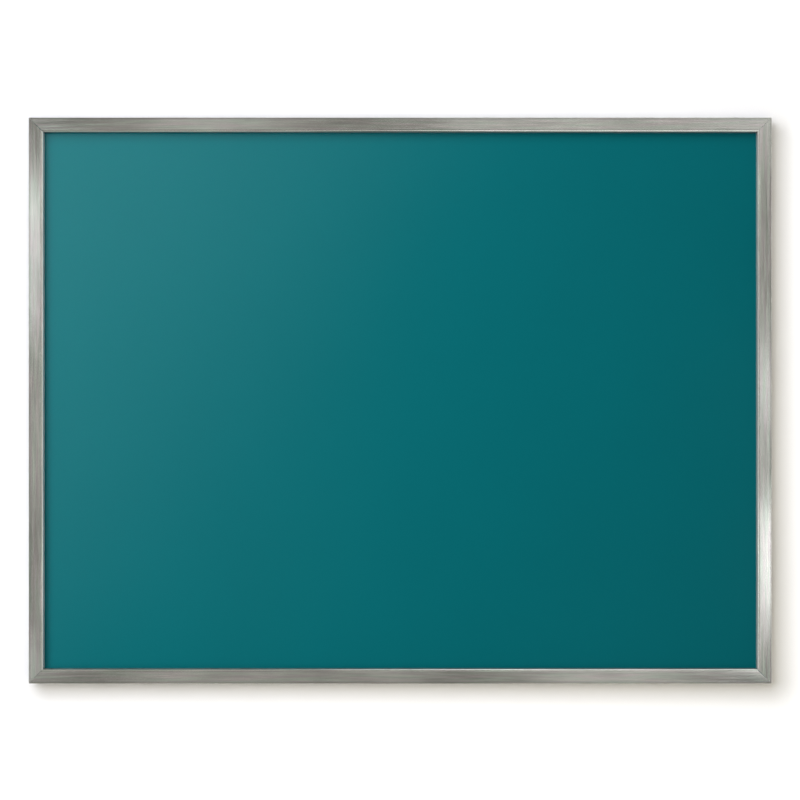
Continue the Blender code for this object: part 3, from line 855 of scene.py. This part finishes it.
def spring_mesh():
    """A leaf bowed back in the middle, with rounded corners and broken edges."""
    steps = 48
    half = SPRING_LENGTH / 2
    edge = SPRING_EDGE
    bm = bmesh.new()
    rings = []
    for step in range(steps + 1):
        share = 2 * step / steps - 1
        # Closer towards the ends, where the corners are round
        share = (math.sin(share * math.pi / 2) + share) / 2
        x = share * half
        y = SPRING_BOW * (1 + math.cos(math.pi * share)) / 2
        short = max(SPRING_CORNER - (half - abs(x)), 0)
        cut = SPRING_CORNER - math.sqrt(SPRING_CORNER ** 2 - short ** 2)
        section = []
        for z, inwards in ((cut, edge), (SPRING_WIDTH - cut, -edge)):
            section.append(((y + edge, z), (y, z + inwards), (y + SPRING_THICKNESS - edge, z),
                            (y + SPRING_THICKNESS, z + inwards)))
        low, high = section
        around = [low[0], low[2], low[3], high[3], high[2], high[0], high[1], low[1]]
        rings.append([bm.verts.new((x, depth, z)) for depth, z in around])
    bridged(bm, rings)
    return finished_mesh("leaf_spring", bm)


def build_springs(material):
    """Two leaves on each rail and one on each stile."""
    leaf = spring_mesh()
    for side, (x_sign, z_sign, turn) in SIDES.items():
        axes = axes_of(x_sign, z_sign, turn)
        name = "spring_" + side.split("_")[1]
        places = {name: 0.0}
        if z_sign:
            reach = -z_sign * SPRING_SPACING / 2
            places = {name + "_left": -reach, name + "_right": reach}
        for node, x in places.items():
            stand_in(node, leaf, material, "spring_steel",
                     axes @ Matrix.Translation((x, SPRING_FRONT, SPRING_INSET)))


def build_bumpers(rubber, tape):
    """Dished rubber buttons on foam tape, two on each rail."""
    height = HIGH.y - FRONT_Y - FRAME_DEPTH - TAPE_THICKNESS
    profile = [
        (BUMPER_RADIUS - BUMPER_FOOT_EDGE, 0),
        (BUMPER_RADIUS, BUMPER_FOOT_EDGE),
        (BUMPER_RADIUS, BUMPER_EDGE),
    ]
    flat_radius = BUMPER_TOP_RADIUS - BUMPER_EDGE
    profile += arc((flat_radius, height - BUMPER_EDGE), (BUMPER_EDGE, BUMPER_EDGE), 10, 90, 8)
    profile += [
        (BUMPER_TOP_RADIUS - BUMPER_EDGE * 1.6, height - BUMPER_DISH * 0.4),
        (BUMPER_TOP_RADIUS * 0.5, height - BUMPER_DISH),
        (BUMPER_TOP_RADIUS * 0.1, height - BUMPER_DISH),
    ]
    button = turned("bumper", profile, 56)
    disc = turned("foam_tape", [
        (BUMPER_RADIUS - TAPE_INSET, 0),
        (BUMPER_RADIUS - TAPE_WAIST_INSET, TAPE_THICKNESS / 2),
        (BUMPER_RADIUS - TAPE_INSET, TAPE_THICKNESS),
    ], 56)
    for side in ("rail_bottom", "rail_top"):
        reach = -SIDES[side][1] * (WIDTH / 2 - BUMPER_INSET)
        for name, x in (("_left", -reach), ("_right", reach)):
            node = "bumper_" + side.split("_")[1] + name
            place = axes_of(*SIDES[side]) @ Matrix.Translation((x, FRAME_DEPTH, CHANNEL_MIDDLE))
            add_piece(node + "_tape", disc, tape, "rubber", place)
            stand_in(node, button, rubber, "rubber", place @ Matrix.Translation((0, TAPE_THICKNESS, 0)))


def flat_mesh(name, outlines, material):
    """Flat faces from lists of corners, in one mesh."""
    bm = bmesh.new()
    for corners in outlines:
        bm.faces.new([bm.verts.new(corner) for corner in corners])
    mesh = bpy.data.meshes.new(name)
    bm.to_mesh(mesh)
    bm.free()
    mesh.materials.append(material)
    return mesh


def upright(y, left, low, right, high):
    """The corners of a rectangle that stands across y."""
    return [(x, y, z) for x, z in rectangle(left, low, right, high)]


def stage_piece(mesh, *hidden_from):
    """A piece of the stage, which the kinds of ray named don't meet."""
    piece = bpy.data.objects.new(mesh.name, mesh)
    for ray in hidden_from:
        setattr(piece, "visible_" + ray, False)
    bpy.context.scene.collection.objects.link(piece)
    return piece


def shell_material(name, colour, glow_colour, glow=(0, 0), span=(0, 1), seen=(0, 0), seen_span=(0, 1),
                   contact_shade_depth=0.0):
    """A matt surface that shows from its front only, with a glow that changes with distance from the board.

    The first glow gives light too, the second one is only seen by the camera. Each has its levels near the
    board and far from it, and the span of distances between them. Painted shade may darken the surface right
    beside the board's lit edges, at the top and on the left.
    """
    graph = material_graph(name)
    outside = graph.vector_math("ABSOLUTE", graph.place)
    outside = graph.vector_math("SUBTRACT", outside, (WIDTH / 2, 1, HEIGHT / 2))
    distance = graph.measure("LENGTH", graph.vector_math("MAXIMUM", outside))
    # Painted shade on the wall right beside the board's lit edges
    lit_side = graph.measure("DOT_PRODUCT", graph.place, LIT_SLOPE)
    painted_contact_shade = graph.product(graph.remap(lit_side, (0, 0.5), (0, contact_shade_depth)),
                           graph.remap(distance, CONTACT_SPAN, (1, 0)))
    shade = graph.scaled(colour, graph.math("SUBTRACT", 1.0, painted_contact_shade))
    matt = graph.node("BsdfDiffuse", {"Color": shade})
    rays = graph.node("LightPath", {}).outputs["Is Camera Ray"]
    extra = graph.product(rays, graph.remap(distance, seen_span, seen, smooth=True))
    strength = graph.math("ADD", graph.remap(distance, span, glow, smooth=True), extra)
    emission = graph.node("Emission", {"Color": glow_colour, "Strength": strength})
    lit = graph.node("AddShader", {0: matt.outputs[0], 1: emission.outputs[0]})
    clear = graph.node("BsdfTransparent", {})
    back = graph.node("NewGeometry", {}).outputs["Backfacing"]
    shown = graph.node("MixShader", {0: back, 1: lit.outputs[0], 2: clear.outputs[0]})
    return graph.surface(shown.outputs[0])


def build_stage():
    """A white wall around the board, seen from its front only, and a pale floor below.

    The wall is open behind the board, so that the back gets light. A dark skirt in the gap between them
    keeps that light off the wall, and a panel of painted shade, a dim glow that only the camera sees, closes
    the opening for a camera in front.
    """
    plaster = shell_material("wall", (0.95, 0.945, 0.935), (1, 0.985, 0.96), WALL_GLOW, WALL_GLOW_SPAN,
                             WALL_SEEN, WALL_SEEN_SPAN, PAINTED_CONTACT_SHADE)
    reach = WALL_REACH
    inner_x = WIDTH / 2 - FACE_WIDTH / 2
    inner_z = HEIGHT / 2 - FACE_WIDTH / 2
    y = HIGH.y
    wall = flat_mesh("wall", [
        upright(y, -reach, -reach, reach, -inner_z),
        upright(y, -reach, inner_z, reach, reach),
        upright(y, -reach, -inner_z, -inner_x, inner_z),
        upright(y, inner_x, -inner_z, reach, inner_z),
    ], plaster)
    dark = shell_material("gap", (0.10, 0.10, 0.10), (0, 0, 0))
    back = FRONT_Y + FRAME_DEPTH
    gap = []
    for here, ahead in neighbours(rectangle(-inner_x, -inner_z, inner_x, inner_z)):
        gap.append([(x, depth, z) for (x, z), depth in ((here, back), (ahead, back), (ahead, y), (here, y))])
    stage_piece(flat_mesh("gap", gap, dark), "camera", "glossy", "shadow", "transmission")
    # Painted shade: a panel in the opening that only the camera sees, glowing as dimly as a shadowed wall
    painted_shade_material = shell_material("shade", (0, 0, 0), (1, 0.98, 0.95), seen=SHADE_SEEN)
    opening = upright(y, -inner_x, -inner_z, inner_x, inner_z)
    stage_piece(flat_mesh("shade", [opening], painted_shade_material), "diffuse", "glossy", "shadow", "transmission")
    paint = shell_material("floor", (0.70, 0.69, 0.67), WHITE, seen=FLOOR_SEEN, seen_span=FLOOR_SEEN_SPAN)
    corners = [(x, ahead, FLOOR_Z) for x, ahead in rectangle(-reach, -reach, reach, reach)]
    stage_piece(flat_mesh("floor", [corners], paint), "diffuse", "glossy", "shadow")
    return stage_piece(wall, "diffuse", "shadow")


# Soft reflectors near the camera: where they show on the frame's face, as pixels of the photograph, their
# half sizes there in pixels, how far out their light stays even, and how much brighter they are than the
# card. The last ones are darker than it.
REFLECTORS = [
    ((-25, 205), (95, 48), 0.2, 1.00),
    ((-25, 258), (100, 96), 0.85, 1.00),
    ((36, 440), (150, 85), 0.7, 0.19),
    ((-10, 665), (95, 50), 0.2, 0.90),
    ((788, 95), (140, 75), 0.2, 0.62),
    ((764, 390), (130, 110), 0.2, 1.00),
    ((820, 563), (92, 84), 0.75, 2.05),
    ((112, 124), (56, 190), 0.2, 0.15),
    ((216, 124), (82, 190), 0.6, 0.37),
    ((408, 124), (46, 190), 0.4, 0.07),
    ((468, 124), (25, 190), 0.2, 0.26),
    ((604, 124), (168, 190), 0.92, 0.29),
    ((160, 676), (60, 190), 0.2, 0.16),
    ((258, 676), (70, 190), 0.2, 0.17),
    ((402, 676), (36, 190), 0.3, 0.19),
    ((630, 676), (96, 190), 0.90, 0.29),
    ((65, 95), (110, 75), 0.3, -0.21),
    ((85, 715), (90, 60), 0.3, -0.20),
    ((740, 740), (100, 85), 0.3, -0.36),
    ((702, 124), (36, 190), 0.3, -0.13),
    ((447, 676), (34, 190), 0.3, -0.09),
    ((764, 202), (130, 46), 0.3, -0.12),
    ((24, 160), (90, 34), 0.3, -0.10),
    ((24, 572), (90, 66), 0.6, -0.06),
]
# The tent's sides: each one's axis and sign, its level, and how much brighter it is next to the card, at the
# two ends of a span in x
SIDE_BANDS = [
    ("X", 1, 0.12, (0, 1), (1.65, 1.65)),
    ("X", -1, 0.42, (-1, 0), (0.80, 0.80)),
    ("Z", 1, 0.18, (-0.28, 0.18), (0.22, 2.40)),
    ("Z", -1, 0.08, (0.00, 0.35), (0.06, 0.80)),
    ("Z", -1, 0.00, (-0.20, -0.08), (0.50, 0.00)),
]
CARD_LEVEL = 0.31
CARD_LEAST = 0.05
CARD_DISTANCE = 2.1
CARD_REACH = 1.2
TENT_OPENING_Y = -0.03
# Spans in y, away from the board, over which the sides reach their level and their band next to the card
SIDE_SPAN = (-0.10, -0.50)
BAND_SPAN = (-0.35, -0.9)
# The levels over which the tent turns cool
COOL_SPAN = (0.35, 1.3)


def build_card():
    """A grey tent around the camera's side of the board, for the camera's own reflections only.

    Its front card carries soft patches, and its sides have a bright band next to the card. It gives no light
    to the wall by way of the frame, because a path that has met a matt surface sees it dark.
    """
    graph = material_graph("tent")
    pixel = WIDTH / BOARD_PIXELS
    spread = 1 + CARD_DISTANCE / CAMERA_DISTANCE
    level = CARD_LEVEL
    for (x, y), (half_width, half_height), even, strength in REFLECTORS:
        centre = ((x - BOARD_CENTRE_PIXEL[0]) * pixel * spread, 0,
                  (BOARD_CENTRE_PIXEL[1] - y) * pixel * spread)
        scale = (1 / (half_width * pixel * spread), 0, 1 / (half_height * pixel * spread))
        offset = graph.vector_math("SUBTRACT", graph.place, centre)
        offset = graph.vector_math("MULTIPLY", offset, scale)
        patch = graph.remap(graph.measure("LENGTH", offset), (even, 1), (strength, 0), smooth=True)
        level = graph.math("ADD", level, patch)
    axes = graph.parts(graph.place)
    on_card = graph.math("LESS_THAN", axes["Y"], FRONT_Y - CARD_DISTANCE * 0.99)
    off_board = graph.remap(axes["Y"], SIDE_SPAN, (0.5, 1), smooth=True)
    near_card = graph.remap(axes["Y"], BAND_SPAN, (0, 1), smooth=True)
    side_level = 0.0
    for axis, sign, base, span, levels in SIDE_BANDS:
        on_side = graph.math("GREATER_THAN", graph.product(axes[axis], sign), CARD_REACH * 0.99)
        band = graph.product(graph.remap(axes["X"], span, levels, smooth=True), near_card)
        band = graph.math("ADD", band, graph.product(off_board, base))
        side_level = graph.math("ADD", side_level, graph.product(band, on_side))
    level = graph.math("MAXIMUM", level, CARD_LEAST)
    strength = graph.mix_values(on_card, side_level, level)
    cool = graph.mix(graph.remap(strength, COOL_SPAN, (0, 1)), WHITE, (0.97, 1.0, 1.08))
    matt_bounces = graph.node("LightPath", {}).outputs["Diffuse Depth"]
    strength = graph.product(strength, graph.between(matt_bounces, 1, 0))
    glow = graph.node("Emission", {"Color": cool, "Strength": strength})
    far = FRONT_Y - CARD_DISTANCE
    outline = rectangle(-CARD_REACH, -CARD_REACH, CARD_REACH, CARD_REACH)
    sides = [[(x, far, z) for x, z in outline]]
    for here, ahead in neighbours(outline):
        around = ((here, far), (ahead, far), (ahead, TENT_OPENING_Y), (here, TENT_OPENING_Y))
        sides.append([(x, y, z) for (x, z), y in around])
    tent = flat_mesh("tent", sides, graph.surface(glow.outputs[0]))
    stage_piece(tent, "camera", "diffuse", "shadow", "transmission")


def add_area(name, colour, power, location, aim, size):
    """A rectangular lamp that the camera doesn't see."""
    light = bpy.data.lights.new(name, "AREA")
    light.color = colour
    light.shape = "RECTANGLE"
    light.size, light.size_y = size
    light.energy = power
    lamp = bpy.data.objects.new(name, light)
    lamp.location = location
    lamp.rotation_euler = (Vector(aim) - Vector(location)).to_track_quat("-Z", "Y").to_euler()
    lamp.visible_camera = False
    bpy.context.scene.collection.objects.link(lamp)
    return lamp


def fade(lamp):
    """Let a lamp's light fall evenly to nothing at its edge on the side of its own Y axis."""
    graph = Graph(lamp.data)
    across = lamp.rotation_euler.to_matrix().col[1]
    middle = across.dot(lamp.location)
    half = lamp.data.size_y / 2
    place = graph.node("NewGeometry", {}).outputs["Position"]
    along = graph.measure("DOT_PRODUCT", place, across)
    strength = graph.remap(along, (middle + half, middle - half), (0, 1))
    graph.feed(graph.tree.nodes["Emission"].inputs["Strength"], strength)


def light_only(lamp, *receivers):
    """Keep a lamp's light to the objects given."""
    chosen = bpy.data.collections.new(lamp.name + "_receivers")
    for receiver in receivers:
        chosen.objects.link(receiver)
    lamp.light_linking.receiver_collection = chosen


def spare(lamp, *others):
    """Let a lamp light everything but the objects given."""
    light_only(lamp, *others)
    for entry in lamp.light_linking.receiver_collection.collection_objects:
        entry.light_linking.link_state = "EXCLUDE"


def build_lights(wall):
    """A large soft key up on the left, its glow on the coating, a fill, two wall lamps and one behind."""
    key = add_area("key", *KEY)
    key.visible_glossy = False
    spare(key, wall)
    glow = add_area("glow", *GLOW)
    # Turned about its aim too, so that its light falls to nothing down the board's diagonal
    glow.rotation_euler = Matrix(((-0.6, 0.8, 0), (0, 0, -1), (-0.8, -0.6, 0))).to_euler()
    glow.visible_diffuse = False
    fade(glow)
    light_only(glow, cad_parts["steel_sheet"])
    fill = add_area("fill", *FILL)
    fill.visible_glossy = False
    spare(fill, wall)
    wash = add_area("wall_wash", *WASH)
    wash.visible_glossy = False
    light_only(wash, wall)
    bounce = add_area("wall_bounce", *BOUNCE)
    bounce.visible_glossy = False
    light_only(bounce, wall)
    add_area("back_key", *BACK)
    bpy.context.scene.world = build_world()


def build_world():
    """An even dim light, white to the camera, and a soft sky over a dark ground in reflections."""
    graph = Graph(bpy.data.worlds.new("studio"))
    rays = graph.node("LightPath", {}).outputs
    axes = graph.parts(graph.coordinates("Generated"))
    sky = graph.remap(axes["Z"], SKY_SPAN, SKY_LEVELS, smooth=True)
    around = graph.mix_values(rays["Is Glossy Ray"], AMBIENT, sky)
    white = graph.node("Math", {0: rays["Is Camera Ray"], 1: rays["Is Transmission Ray"]},
                       operation="ADD", use_clamp=True)
    background = graph.tree.nodes["Background"].inputs
    graph.feed(background["Color"], WHITE)
    graph.feed(background["Strength"], graph.mix_values(white.outputs[0], around, 1.0))
    return graph.owner


def build_camera():
    """Straight in front of the board, at the photograph's scale."""
    pixel = WIDTH / BOARD_PIXELS
    data = bpy.data.cameras.new("camera")
    data.sensor_width = SENSOR_MM
    data.lens = SENSOR_MM * CAMERA_DISTANCE / (IMAGE_SIZE * pixel)
    camera = bpy.data.objects.new("camera", data)
    right = (IMAGE_SIZE / 2 - BOARD_CENTRE_PIXEL[0]) * pixel
    up = (BOARD_CENTRE_PIXEL[1] - IMAGE_SIZE / 2) * pixel
    camera.location = (right, FRONT_Y - CAMERA_DISTANCE, up)
    camera.rotation_euler = (math.pi / 2, 0, 0)
    bpy.context.scene.collection.objects.link(camera)
    bpy.context.scene.camera = camera


build_camera()
build_card()
build_lights(build_stage())
build_frame(brushed_frame(), sawn_metal())
ZINC = zinc_plate()
build_corners(ZINC)
build_hangers(ZINC, nickel_wire())
build_springs(spring_steel())
build_bumpers(black_rubber(), foam_tape())
dress("steel_sheet", teal_coat())
dress("backing_board", hardboard())

bpy.context.scene.view_settings.view_transform = "Standard"
